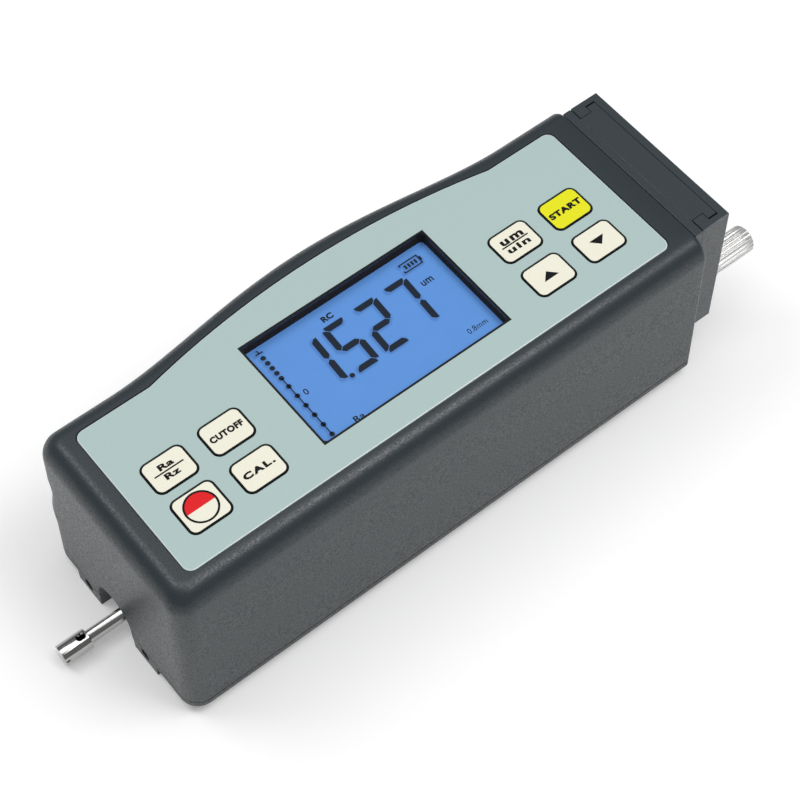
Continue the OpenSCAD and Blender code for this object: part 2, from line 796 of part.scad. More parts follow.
// Socket under the carriage that the pick-up plugs into
module pickup_socket() {
    color("#2a2c2f") difference() {
        block([socket_x, pick_y - socket_half, socket_z],
            [socket_x + socket_len, pick_y + socket_half, socket_top]);
        along_x(socket_x - 1, pick_y, pick_h)
            cylinder(d = barrel_d + 2 * fit, h = barrel_end - socket_x + 1);
    }
}

module pickup_tube() {
    color("#cfd2d6") difference() {
        union() {
            along_x(neck_x, pick_y, pick_h) cylinder(d = tube_d, h = barrel_x - neck_x + 1);
            along_x(barrel_x, pick_y, pick_h) cylinder(d = barrel_d, h = barrel_end - barrel_x);
        }
        along_x(neck_x - 1, pick_y, pick_h) cylinder(d = tube_bore, h = pivot_x + 6 - neck_x);
        translate([pivot_x, pick_y, pick_h]) rotate([90, 0, 0])
            cylinder(d = pin_d + 2 * fit, h = 2 * barrel_d, center = true);
    }
}

// Skid head: rides on the surface; the stylus looks out of the slot in its underside
module skid_head() {
    hole_d = 1.7;
    hole_x = neck_x - 1.7;
    slit = 0.5;
    color("#dcdfe3") difference() {
        along_x(head_x, pick_y, pick_h) cylinder(d = head_d, h = head_len);
        along_x(head_x + 1.2, pick_y, pick_h) cylinder(d = tube_bore, h = head_len);
        block([tip_x - 0.9, pick_y - 0.7, -1], [tip_x + 1.6, pick_y + 0.7, pick_h]);
        for (x = [hole_x, hole_x + 0.7])
            translate([x, pick_y, pick_h]) cylinder(d = hole_d, h = head_d);
        block([head_x - 1, pick_y - head_d, pick_h + 0.3],
            [head_x + 1, pick_y + head_d, pick_h + 0.3 + slit]);
    }
}

module stylus_arm() {
    color("#b9bdc2") difference() {
        union() {
            along_x(tip_x - 0.5, pick_y, pick_h) cylinder(d = arm_d, h = pivot_x + 4 - tip_x);
            translate([pivot_x, pick_y, pick_h]) rotate([90, 0, 0])
                cylinder(d = hub_d, h = hub_len, center = true);
        }
        translate([pivot_x, pick_y, pick_h]) rotate([90, 0, 0])
            cylinder(d = pin_d + 2 * run, h = 2 * hub_d, center = true);
        translate([tip_x, pick_y, pick_h - arm_d]) cylinder(d = tip_d + 2 * fit, h = 2 * arm_d);
    }
}

// Diamond tip, set into the end of the arm
module stylus_tip() {
    cone_h = 0.6;
    color("#f2f5f8") translate([tip_x, pick_y, 0]) {
        translate([0, 0, tip_low + cone_h]) cylinder(d = tip_d, h = pick_h + arm_d / 2 - tip_low - cone_h);
        translate([0, 0, tip_low]) cylinder(d1 = 0.1, d2 = tip_d, h = cone_h);
    }
}

module stylus_pin() {
    color("#b9bdc2") translate([pivot_x, pick_y, pick_h]) rotate([90, 0, 0])
        cylinder(d = pin_d, h = barrel_d - 0.4, center = true);
}

// Screws of the leg guide, across and up
guide_holes = [for (s = [-1, 1]) for (z = [leg_top - 5.5, leg_top - 15]) [leg_y + 14 * s, z]];
tee_neck = leg_w / 2 - hook - slide_gap;
tee_half = leg_w / 2 - rail_wall - tee_side_gap;

// Fixed guide on the rear wall: a flange, a little lower than the tee that the leg slides on
module leg_guide() {
    color("#3a3d41") difference() {
        union() {
            block([rear_x, leg_y - leg_w / 2, leg_z], [guide_x, leg_y + leg_w / 2, leg_top - flange_drop]);
            block([guide_x - 0.1, leg_y - tee_neck, leg_z], [tee_rear, leg_y + tee_neck, leg_top]);
            block([leg_x + hook_t + slide_gap, leg_y - tee_half, leg_z],
                [tee_rear, leg_y + tee_half, leg_top]);
        }
        for (p = guide_holes)
            along_x(rear_x - 1, p[0], p[1]) cylinder(d = cover_screw_d + 2 * fit, h = flange_t + 4);
    }
}

module guide_screws() {
    color("#c9ccd0") for (p = guide_holes)
        along_x(cavity_rear, p[0], p[1]) pan_screw(cover_screw_d, wall + flange_t + 2);
}

// Sliding leg: a back plate with two hooked rails that clasp the tee
module leg_channel() {
    half = leg_w / 2;
    color("#3e4247") difference() {
        block([leg_x, leg_y - half, leg_z], [leg_rear, leg_y + half, leg_top]);
        block([leg_x - 1, leg_y - half + hook, leg_z - 1], [plate_x, leg_y + half - hook, leg_top + 1]);
        block([leg_x + hook_t, leg_y - half + rail_wall, leg_z - 1],
            [plate_x, leg_y + half - rail_wall, leg_top + 1]);
        for (s = [-1, 1])
            along_x(plate_x - 1, leg_y + s * knob_pitch / 2, knob_z)
                cylinder(d = thumb_d + 2 * run, h = leg_back + 2);
    }
}

// Thumb screw: a knurled head and a shank through the leg's back plate
module thumb_screw(s) {
    knurl = 0.25;
    core = knob_d / 2 - knurl;
    shank_x = tee_rear + pad_gap + pad_t;
    shank_len = leg_rear + knob_stand - shank_x;
    color("#e9eaec") along_x(shank_x, leg_y + s * knob_pitch / 2, knob_z) {
        cylinder(d = thumb_d, h = shank_len + knurl);
        translate([0, 0, shank_len]) linear_extrude(knob_len)
            polygon([for (i = [0:2 * knurls - 1]) let (a = 180 * i / knurls, r = core + knurl * (i % 2))
                [r * cos(a), r * sin(a)]]);
    }
}

module thumb_screw_near() { thumb_screw(-1); }
module thumb_screw_far() { thumb_screw(1); }

// Pad at the screw's end that presses on the tee
module clamp_pad(s) {
    color("#c79a3c") along_x(tee_rear + pad_gap, leg_y + s * knob_pitch / 2, knob_z)
        cylinder(d = pad_d, h = pad_t);
}

module clamp_pad_near() { clamp_pad(-1); }
module clamp_pad_far() { clamp_pad(1); }

placed() housing();
placed() bottom_cover();
placed() cover_screws();
placed() rear_feet();
placed() battery_door();
placed() battery_box();
placed() battery_cells();
placed() battery_contacts();
placed() face_panel();
placed() lcd_gasket();
placed() lcd_glass();
placed() lcd_backlight();
placed() key_parameter();
placed() key_cutoff();
placed() key_power();
placed() key_calibrate();
placed() key_units();
placed() key_start();
placed() key_up();
placed() key_down();
placed() key_switches();
placed() main_board();
placed() board_screws();
placed() drive_frame();
placed() frame_screws();
placed() guide_rods();
placed() lead_screw();
placed() screw_bushes();
placed() drive_gear();
placed() motor_pinion();
placed() gear_motor();
placed() carriage();
placed() drive_nut();
placed() pickup_socket();
placed() pickup_tube();
placed() skid_head();
placed() stylus_arm();
placed() stylus_tip();
placed() stylus_pin();
placed() leg_guide();
placed() guide_screws();
placed() leg_channel();
placed() thumb_screw_near();
placed() thumb_screw_far();
placed() clamp_pad_near();
placed() clamp_pad_far();
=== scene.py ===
# %% [markdown]
# # Dressing a surface roughness tester
# The instrument's solids come in as a fixed frame, in metres. This lesson gives them their looks:
# a smooth housing, softened edges, printed keys, a display and the finishes of plastic and metal.
# Each piece stays where the frame has it, so it moves with the part that carries it.

# %% Load the frame
import json
import math

import bmesh
import bpy
import numpy as np
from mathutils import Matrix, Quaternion, Vector


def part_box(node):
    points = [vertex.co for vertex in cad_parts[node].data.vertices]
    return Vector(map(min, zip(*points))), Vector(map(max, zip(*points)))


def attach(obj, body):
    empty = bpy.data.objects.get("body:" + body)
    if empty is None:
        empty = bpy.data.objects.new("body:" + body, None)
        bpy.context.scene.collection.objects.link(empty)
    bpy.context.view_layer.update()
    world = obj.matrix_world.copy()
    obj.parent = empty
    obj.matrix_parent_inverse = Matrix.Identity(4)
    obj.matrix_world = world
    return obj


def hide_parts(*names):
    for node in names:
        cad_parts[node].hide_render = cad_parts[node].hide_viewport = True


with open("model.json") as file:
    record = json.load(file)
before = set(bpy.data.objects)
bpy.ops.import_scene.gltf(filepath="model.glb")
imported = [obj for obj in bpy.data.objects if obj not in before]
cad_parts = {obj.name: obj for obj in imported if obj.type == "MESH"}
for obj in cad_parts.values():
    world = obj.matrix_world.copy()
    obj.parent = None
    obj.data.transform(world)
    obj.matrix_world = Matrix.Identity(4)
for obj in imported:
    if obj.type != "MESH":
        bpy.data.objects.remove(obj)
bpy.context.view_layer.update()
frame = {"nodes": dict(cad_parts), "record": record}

MM = 0.001
slot_of = {part["node"]: part["material_slot"] for part in frame["record"]["subparts"]}
body_of = {n: body for body, nodes in frame["record"]["behaviour"]["bodies"].items() for n in nodes}

# %% [markdown]
# ## Shader sums
# A finish is a small sum: a colour, some grain, a little unevenness. Nodes hide such sums in boxes and
# lines. A class that wraps one socket and knows plus, minus and times lets them be written as Python.
# Colours go through a Mix node, because a Math node would turn them grey.


# %% Wires that can be added and multiplied
class Wire:
    """One output of a material's nodes, so that shader maths reads as Python sums."""

    def __init__(self, tree, socket):
        self.tree = tree
        self.socket = socket

    def make(self, kind, settings, inputs, output=0):
        """Adds a node of that kind: its settings first, then a number, colour or wire for each input."""
        node = self.tree.nodes.new(kind)
        for name, value in settings.items():
            setattr(node, name, value)
        for key, value in inputs.items():
            if isinstance(value, Wire):
                self.tree.links.new(value.socket, node.inputs[key])
            else:
                node.inputs[key].default_value = value
        return Wire(self.tree, node.outputs[output])

    def math(self, operation, first, second):
        return self.make("ShaderNodeMath", {"operation": operation}, {0: first, 1: second})

    def __add__(self, other):
        return self.math("ADD", self, other)

    def __sub__(self, other):
        return self.math("SUBTRACT", self, other)

    def __rsub__(self, other):
        return self.math("SUBTRACT", other, self)

    def __mul__(self, other):
        return self.math("MULTIPLY", self, other)

    def __lt__(self, other):
        return self.math("LESS_THAN", self, other)

    __radd__ = __add__
    __rmul__ = __mul__

    def larger(self, other):
        return self.math("MAXIMUM", self, other)

    def size(self):
        return self.math("ABSOLUTE", self, 0.0)

    def noise(self, grain, detail=2.0):
        """Noise whose lumps are about grain metres across, where this wire is a place."""
        return self.make("ShaderNodeTexNoise", {}, {"Vector": self, "Scale": 1.0 / grain, "Detail": detail})

    def lines(self, pitch, axis="X"):
        """Ripples of that pitch in metres along an axis, where this wire is a place."""
        settings = {"bands_direction": axis, "wave_profile": "SIN"}
        inputs = {"Vector": self, "Scale": 0.31 / pitch, "Distortion": 1.5, "Detail": 2.0}
        return self.make("ShaderNodeTexWave", settings, inputs, 1)

    def between(self, low, high):
        """The colour from low to high by this value."""
        return self.make("ShaderNodeMix", {"data_type": "RGBA"}, {0: self, 6: low, 7: high}, 2)

    def raised(self, depth, strength):
        """A normal that this height lifts by up to depth metres."""
        return self.make("ShaderNodeBump", {}, {"Strength": strength, "Distance": depth, "Height": self})


def tone(colour, share=1.0):
    """A colour times a share, as a socket takes it."""
    return (*(min(c * share, 1.0) for c in colour), 1.0)


# %% Start and end of a finish
def start_finish(name):
    """A new material: returns it, its main shader and the place on the piece as a wire."""
    material = bpy.data.materials.new(name)
    material.use_nodes = True
    tree = material.node_tree
    shader = tree.nodes["Principled BSDF"]
    return material, shader, Wire(tree, tree.nodes.new("ShaderNodeTexCoord").outputs["Object"])


def set_finish(shader, values):
    """Sets each of the shader's sockets to a number, a colour or a wire."""
    for name, value in values.items():
        if isinstance(value, Wire):
            value.tree.links.new(value.socket, shader.inputs[name])
        else:
            shader.inputs[name].default_value = value


# %% [markdown]
# ## Plastics
# The housing is moulded in a spark-eroded tool, which leaves a fine grain that glitters where the edge
# turns towards a light. Two sizes of noise do this: a fine one for the grain and a broad one that keeps
# the colour from looking like paint. The fine one is stretched, because plain noise stays close to grey.
# The same grain drives a thin coat, so that the highlight on an edge breaks up into specks.

# %% Moulded, printed and rubber finishes
def moulded(name, colour, grain=0.0004, relief=0.00001, rough=0.48, fleck=0.12):
    """Moulded plastic: grain in the colour, the shine, the coat and the relief, on broad patches of colour."""
    material, shader, place = start_finish(name)
    fine = 3.0 * place.noise(grain, 2.0) - 1.0
    broad = place.noise(0.018)
    set_finish(shader, {
        "Base Color": (0.8 * fine + 0.2 * broad).between(tone(colour, 1 - fleck), tone(colour, 1 + fleck)),
        "Roughness": rough + 0.1 - 0.2 * fine,
        "Specular IOR Level": 0.4,
        "Coat Weight": 1.4 * fleck * fine,
        "Coat Roughness": 0.35,
        "Normal": fine.raised(relief, 1.0)})
    return material


def printed(name, colour, rough=0.42):
    """Satin ink or film: a faint fleck in the colour and an almost flat skin."""
    material, shader, place = start_finish(name)
    fleck = place.noise(0.0005, 3.0)
    set_finish(shader, {
        "Base Color": fleck.between(tone(colour, 0.97), tone(colour, 1.03)),
        "Roughness": rough - 0.06 + 0.12 * fleck,
        "Normal": fleck.raised(0.00001, 0.25)})
    return material


# %% [markdown]
# ## Metals
# The pick-up is ground and polished, the screws are turned. Turning leaves rings round the axis, so the
# ripples run along X, and a broad noise breaks their shine.

# %% Metal finishes
def turned(name, colour, rough=0.2, pitch=0.0002, relief=0.000004, axis="X"):
    """Turned or ground metal: fine rings along an axis and a shine that varies."""
    material, shader, place = start_finish(name)
    rings = place.lines(pitch, axis)
    cloud = place.noise(0.003, 3.0)
    set_finish(shader, {
        "Base Color": cloud.between(tone(colour, 0.94), tone(colour, 1.04)),
        "Metallic": 1.0,
        "Roughness": rough - 0.05 + 0.1 * cloud,
        "Normal": rings.raised(relief, 0.3)})
    return material


finish_of = {
    "housing_plastic": moulded("charcoal_moulding", (0.026, 0.036, 0.042), rough=0.40, fleck=0.15),
    "cover_plastic": moulded("cover_moulding", (0.028, 0.034, 0.039), rough=0.43, fleck=0.15),
    "leg_plastic": moulded("leg_moulding", (0.037, 0.048, 0.055), rough=0.36),
    "foot_rubber": moulded("foot_rubber", (0.020, 0.021, 0.022), 0.0006, 0.00003, 0.75),
    "black_foam": moulded("gasket_foam", (0.010, 0.011, 0.012), 0.0004, 0.00006, 0.8),
    "light_guide": printed("light_guide", (0.74, 0.82, 0.92), 0.3),
    "key_cream": printed("key_cream", (0.86, 0.84, 0.70)),
    "key_yellow": printed("key_yellow", (0.80, 0.79, 0.004)),
    "black_plastic": moulded("black_moulding", (0.020, 0.022, 0.025)),
    "board_green": printed("solder_resist", (0.013, 0.147, 0.045), 0.3),
    "cell_wrap": printed("cell_wrap", (0.57, 0.36, 0.07), 0.25),
    "gear_nylon": moulded("gear_nylon", (0.80, 0.77, 0.68), 0.0005, 0.00001, 0.45, 0.03),
    "diamond": printed("diamond_tip", (0.90, 0.92, 0.95), 0.1),
    "plated_steel": turned("plated_steel", (0.60, 0.61, 0.63), 0.32),
    "black_steel": turned("black_steel", (0.045, 0.046, 0.048), 0.42, axis="Z"),
    "drive_aluminium": turned("milled_aluminium", (0.62, 0.63, 0.65), 0.35),
    "motor_steel": turned("motor_steel", (0.45, 0.46, 0.48), 0.35),
    "ground_steel": turned("ground_steel", (0.66, 0.67, 0.69), 0.22),
    "bright_steel": turned("polished_steel", (0.46, 0.455, 0.45), 0.18),
    "brass": turned("turned_brass", (0.60, 0.42, 0.14), 0.28),
    "knurled_aluminium": turned("knurled_aluminium", (0.80, 0.80, 0.79), 0.45, 0.0003),
}
ink = printed("black_ink", (0.006, 0.007, 0.008), 0.7)
red_ink = printed("red_ink", (0.75, 0.015, 0.020), 0.45)
bezel_black = moulded("window_black", (0.026, 0.017, 0.011), rough=0.85)
segment_ink = printed("display_segment", (0.014, 0.022, 0.036), 0.4)
for dull in (ink, bezel_black, red_ink, segment_ink):
    set_finish(dull.node_tree.nodes["Principled BSDF"], {"Specular IOR Level": 0.15})
# Painted highlight: a paler finish on the leg's rounds stands in for light caught along its edges
leg_painted_highlight = moulded("leg_painted_highlight", (0.13, 0.155, 0.165))
print("finishes", len(finish_of) + 5)

# %% [markdown]
# ## From arrays to pieces
# The frame's origin is under the middle of the whole box. The drawing is easier to read from the middle
# of the body, so sizes are counted from there, and the face panel's corner tells how far apart the two are.
# Every new piece is a set of points and faces worked out as arrays, in millimetres. One helper puts them
# into a mesh, names the body that it rides on and the solid that it stands for, and splits the shading
# where two faces meet at a sharp angle.


# %% Mesh helpers
PANEL_CORNER_AT = (-62.0, -20.0)
panel_corner = np.array(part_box("face_panel")[0]) / MM
MIDDLE = np.array([panel_corner[0] - PANEL_CORNER_AT[0], panel_corner[1] - PANEL_CORNER_AT[1], 0.0])


def box_mm(node):
    """Lowest and highest corner of a solid, in millimetres from the body's middle."""
    low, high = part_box(node)
    return np.array(low) / MM - MIDDLE, np.array(high) / MM - MIDDLE


def dress(piece, materials, sharp=35):
    """Gives a piece its materials, each face by its number, and smooth shading that breaks at sharp edges."""
    faces = piece.data.polygons
    numbers = np.zeros(len(faces), np.int32)
    faces.foreach_get("material_index", numbers)
    piece.data.materials.clear()
    for material in materials:
        piece.data.materials.append(material)
    faces.foreach_set("material_index", np.minimum(numbers, len(materials) - 1))
    faces.foreach_set("use_smooth", np.ones(len(faces), bool))
    piece.data.set_sharp_from_angle(angle=math.radians(sharp))
    piece.data.update()


def settle(piece, body, node=None):
    """Lets a piece ride on a body and, if it stands for a solid, take that solid's place: the solid is hidden."""
    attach(piece, body)
    if node:
        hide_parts(node)
    return piece


def put(name, points, faces, materials, face_slots=None, sharp=35):
    """Makes an object from points in millimetres and faces; face_slots picks each face's material."""
    mesh = bpy.data.meshes.new(name)
    mesh.from_pydata(((np.asarray(points) + MIDDLE) * MM).tolist(), [], [list(map(int, f)) for f in faces])
    piece = bpy.data.objects.new(name, mesh)
    bpy.context.scene.collection.objects.link(piece)
    if face_slots is not None:
        mesh.polygons.foreach_set("material_index", np.asarray(face_slots, np.int32))
    dress(piece, materials, sharp)
    return piece


def grid_faces(rows, columns, close_rows=False):
    """Quads of a grid whose columns run round: each joins a point, the next in its row and those above."""
    row = np.arange(rows if close_rows else rows - 1)[:, None]
    column = np.arange(columns)[None, :]
    above, beside = (row + 1) % rows, (column + 1) % columns
    quads = [row * columns + column, row * columns + beside, above * columns + beside, above * columns + column]
    return np.stack(np.broadcast_arrays(*quads), -1).reshape(-1, 4)


def closed_faces(rows, columns):
    """The grid's quads with a flat face on its first and on its last row."""
    first = np.arange(columns)[::-1]
    last = (rows - 1) * columns + np.arange(columns)
    return [*grid_faces(rows, columns), first, last]


# %% [markdown]
# ## Housing
# The housing is one moulding: leaning sides, a grip that swells on the far side with a finger groove
# along it, soft top edges and a sunk seat for the face panel. It could be cut from blocks, but its
# outline changes smoothly with height, so a grid is better. Each column is one place round the outline.
# Each row is one step on the way up the wall, over the edge, down into the seat, through the display
# window and back down inside. Rows and columns both close, so the shell has no open edge.

# %% Sizes of the housing, as its solid has them
FRONT, REAR, HALF_WIDTH = -70.0, 70.0, 26.0
FOOT, RIM, TOP = 3.5, 5.35, 48.0
SIDE_LEAN, FRONT_LEAN = 0.8, 1.3
BULGE, BULGE_LENGTH, BULGE_X = 5.0, 104.0, 1.2
GROOVE, GROOVE_Z, GROOVE_SPAN = 0.7, 25.5, 18.0
EDGE_WIDTH, EDGE_HEIGHT, CORNER = 4.3, 5.5, 4.5
REAR_EDGE, REAR_CORNER = 1.1, 1.2
SEAT_GAP, SEAT_Z, CEILING = 0.2, 47.2, 45.2
ARCH_Y, ARCH_Z, ARCH_R = 2.5, 6.8, 6.1
WALL = 2.0

panel_low, panel_high = box_mm("face_panel")
PANEL_HALF = 20.0
PANEL_CORNER, PANEL_ARC = 2.0, 89.6
PANEL_MID = (panel_low[0] + panel_high[0]) / 2 + 0.7
WINDOW_X, WINDOW_Y = (panel_low[0] + panel_high[0]) / 2 - 0.28, 1.5
WINDOW_W, WINDOW_D, WINDOW_CORNER = 47.8, 28.8, 0.8


# %% Columns of the housing's grid
def corner_block(rear, far, quarter, steps=14):
    """Columns round one corner: which walls meet there and the cosine and sine of each place."""
    angle = np.linspace(0, np.pi / 2, steps) + quarter * np.pi / 2
    ones = np.ones(steps)
    return np.stack([0 * ones, rear * ones, far * ones, np.cos(angle), np.sin(angle), 0 * ones])


def plain_block(kind, values):
    """Columns along the far wall, kind 1, by their share, or along the front wall, kind 2, by their y."""
    zeros = np.zeros(len(values))
    return np.stack([zeros + kind, zeros, zeros, zeros, zeros, values])


def front_places():
    """Places across the front wall: close together over the arch and on both sides of its upright edges."""
    arch = ARCH_Y + ARCH_R * np.cos(np.linspace(0, np.pi, 33))
    steps = np.array([ARCH_R + 0.02, 8.0, 11.0, 16.0, 20.0])
    return np.concatenate([ARCH_Y + steps[3::-1], arch, ARCH_Y - steps])


FAR_STEPS = 60
columns = np.concatenate([
    corner_block(0, 0, 2), corner_block(1, 0, 3), corner_block(1, 1, 0),
    plain_block(1, np.linspace(0, 1, FAR_STEPS + 1)),
    corner_block(0, 1, 1), plain_block(2, front_places())], axis=1)
kind, rear, far, cosine, sine, value = columns
print("columns round the housing", columns.shape[1])


# %% One row of the outline
def outline(x0, x1, y0, y1, radius, far_x, far_y, front_y, rear_radius=None):
    """Points between four walls: corners are arcs, the far wall is a curve, the front wall is straight."""
    radius = np.where(rear > 0, radius if rear_radius is None else rear_radius, radius)
    x = np.where(rear > 0, x1 - radius, x0 + radius) + radius * cosine
    y = np.where(far > 0, y1 - radius, y0 + radius) + radius * sine
    x = np.where(kind == 1, far_x, np.where(kind == 2, x0, x))
    y = np.where(kind == 1, far_y, np.where(kind == 2, front_y, y))
    return x, y


def squeezed(y0, y1, radius):
    """The front places, drawn together to fit between two corners."""
    low, high = -HALF_WIDTH + CORNER, HALF_WIDTH - CORNER
    return np.interp(value, [low, high], [y0 + radius, y1 - radius])


def swell(x):
    """Share of the grip's bulge: one minus the square of the distance from its middle, squared."""
    u = 2 * (x - BULGE_X) / BULGE_LENGTH
    return np.where(np.abs(u) < 1, (1 - u * u) ** 2, 0.0)


def wall_rows(z, inset):
    """The outer wall at heights z, drawn in by an inset: walls lean in, the far one waves and swells."""
    share = (z - FOOT) / (TOP - FOOT)
    t = (z - GROOVE_Z) / GROOVE_SPAN
    wave = np.where(np.abs(t) < 0.5, -GROOVE * np.sin(2 * np.pi * t), 0.0)
    x0 = FRONT + FRONT_LEAN * share + inset
    y1 = HALF_WIDTH - SIDE_LEAN * share + wave - inset
    far_x = BULGE_X + BULGE_LENGTH * (0.5 - value)
    x, y = outline(x0, REAR - inset * REAR_EDGE / EDGE_WIDTH, -HALF_WIDTH + SIDE_LEAN * share + inset, y1,
                   np.maximum(CORNER - 0.6 * inset, 0.8), far_x, y1 + BULGE * swell(far_x), value, REAR_CORNER)
    return np.stack(np.broadcast_arrays(x, y, z), -1)


def seat_row(gap, z):
    """The panel's seat: straight edges, and a flat arc on its far edge."""
    big = (PANEL_ARC ** 2 / 4 + BULGE ** 2) / (2 * BULGE)
    along = PANEL_ARC * (0.5 - value)
    far_y = PANEL_HALF + gap + BULGE - big + np.sqrt(big ** 2 - along ** 2)
    x0, x1, y0, y1 = panel_low[0] - gap, panel_high[0] + gap, -PANEL_HALF - gap, PANEL_HALF + gap
    radius = PANEL_CORNER + gap
    x, y = outline(x0, x1, y0, y1, radius, PANEL_MID + along, far_y, squeezed(y0, y1, radius))
    return np.stack(np.broadcast_arrays(x, y, z), -1)


def window_row(z):
    """The display window: a rectangle with small round corners."""
    x0, x1 = WINDOW_X - WINDOW_W / 2, WINDOW_X + WINDOW_W / 2
    y0, y1 = WINDOW_Y - WINDOW_D / 2, WINDOW_Y + WINDOW_D / 2
    far_x = x1 - WINDOW_CORNER - value * (WINDOW_W - 2 * WINDOW_CORNER)
    x, y = outline(x0, x1, y0, y1, WINDOW_CORNER, far_x, y1, squeezed(y0, y1, WINDOW_CORNER))
    return np.stack(np.broadcast_arrays(x, y, z), -1)


def inner_row(z):
    """The inside of the walls."""
    x0, x1 = FRONT + FRONT_LEAN + WALL, REAR - WALL
    y0 = -HALF_WIDTH + SIDE_LEAN + WALL + 0.2
    y1 = HALF_WIDTH - SIDE_LEAN - GROOVE - WALL + 0.2
    radius = CORNER - WALL / 2
    far_x = BULGE_X + BULGE_LENGTH * (0.5 - value)
    x, y = outline(x0, x1, y0, y1, radius, far_x, y1 + BULGE * swell(far_x), squeezed(y0, y1, radius))
    return np.stack(np.broadcast_arrays(x, y, z), -1)


# %% Rows of the housing's grid
join_z = GROOVE_Z - GROOVE_SPAN / 2
beyond = np.abs(value - ARCH_Y)
under_arch = (kind == 2) & (beyond <= ARCH_R)
low_z = np.where(under_arch, ARCH_Z + np.sqrt(np.maximum(ARCH_R ** 2 - beyond ** 2, 0)), RIM)
lower = low_z + np.linspace(0, 1, 8)[:, None] * (join_z - low_z)
upper = np.linspace(join_z, join_z + GROOVE_SPAN, 33)[1:, None] + 0 * low_z
bend = np.linspace(0, np.pi / 2, 15)[:, None]
edge = TOP - EDGE_HEIGHT * (1 - np.sin(bend)) + 0 * low_z
heights = np.concatenate([lower, upper, edge])
insets = np.concatenate([np.zeros((len(lower) + len(upper), 1)), EDGE_WIDTH * (1 - np.cos(bend))])
lip = 0.12
shell = np.concatenate([
    wall_rows(heights, insets),
    seat_row(SEAT_GAP + lip, TOP)[None], seat_row(SEAT_GAP, TOP - lip)[None], seat_row(SEAT_GAP, SEAT_Z)[None],
    window_row(SEAT_Z)[None], window_row(CEILING)[None], inner_row(CEILING)[None], inner_row(low_z)[None]])
row_count, column_count = shell.shape[:2]
WINDOW_WALL = row_count - 4
window_rows = np.zeros((row_count, column_count), int)
window_rows[WINDOW_WALL] = 1
print("housing grid", row_count, "by", column_count)

# %% [markdown]
# ## Key holes
# The seat has a hole for each key. A grid has no place for eight more holes, so they are cut with one
# Boolean by eight upright posts with the same rounded outline as the caps.


# %% Rounded posts and the finished housing
def post_rows(middle, widths, depths, radii, heights, steps=8):
    """Rounded rectangles above each other: each corner is a quarter circle round its own middle."""
    quarter = np.arange(4).repeat(steps)
    angle = np.tile(np.linspace(0, np.pi / 2, steps), 4) + (quarter + 2) * np.pi / 2
    side_x = np.where((quarter == 1) | (quarter == 2), 1.0, -1.0)
    side_y = np.where(quarter >= 2, 1.0, -1.0)
    w, d, r, z = (np.asarray(a, float)[:, None] for a in (widths, depths, radii, heights))
    x = middle[0] + side_x * (w / 2 - r) + r * np.cos(angle)
    y = middle[1] + side_y * (d / 2 - r) + r * np.sin(angle)
    return np.stack(np.broadcast_arrays(x, y, z), -1)


KEYS = ("key_parameter", "key_cutoff", "key_power", "key_calibrate", "key_units", "key_start", "key_up", "key_down")
KEY_LIP, KEY_GAP, KEY_CORNER = 0.6, 0.2, 1.7
key_middle = {k: (sum(box_mm(k)) / 2)[:2] for k in KEYS}
key_size = {k: (box_mm(k)[1] - box_mm(k)[0])[:2] - 2 * KEY_LIP for k in KEYS}

housing = put("housing_shell", shell.reshape(-1, 3), grid_faces(row_count, column_count, True),
              [finish_of["housing_plastic"], bezel_black], window_rows.ravel())
posts = []
for k in KEYS:
    hole = key_size[k] + 2 * KEY_GAP
    corner = KEY_CORNER + KEY_GAP
    posts.append(post_rows(key_middle[k], [hole[0]] * 2, [hole[1]] * 2, [corner] * 2, [CEILING - 1, TOP]))
post_points = np.stack(posts)
ring_points = post_points.shape[2]
post_faces = [np.asarray(f) + 2 * ring_points * i for i in range(len(KEYS)) for f in closed_faces(2, ring_points)]
cutter = put("key_posts", post_points.reshape(-1, 3), post_faces, [bezel_black])


def bake_modifiers(piece):
    """Puts what a piece's modifiers make into its own mesh."""
    made = bpy.data.meshes.new_from_object(piece.evaluated_get(bpy.context.evaluated_depsgraph_get()))
    piece.modifiers.clear()
    piece.data = made


cut = housing.modifiers.new("key_holes", "BOOLEAN")
cut.operation, cut.solver, cut.object = "DIFFERENCE", "EXACT", cutter
bake_modifiers(housing)
bpy.data.objects.remove(cutter)
dress(housing, [finish_of["housing_plastic"], bezel_black])
settle(housing, "body", "housing")
print("housing faces", len(housing.data.polygons))

# %% [markdown]
# ## Softened solids
# Many pieces have the right form already, but their edges are knife sharp, and real mouldings never are:
# a small round on each edge catches the light and makes it readable. In a copy of a boxy solid the loose
# triangles are merged into whole faces, and a Bevel modifier rounds every edge that turns enough. Turned
# pieces keep their triangles, so that they stay smooth. The leg's rounds get a paler finish of their own:
# a painted highlight along its edges.


# %% Round the edges of a solid's copy
FLAT_TURN, BOX_TURN, WELD = 0.5, 12, 0.002


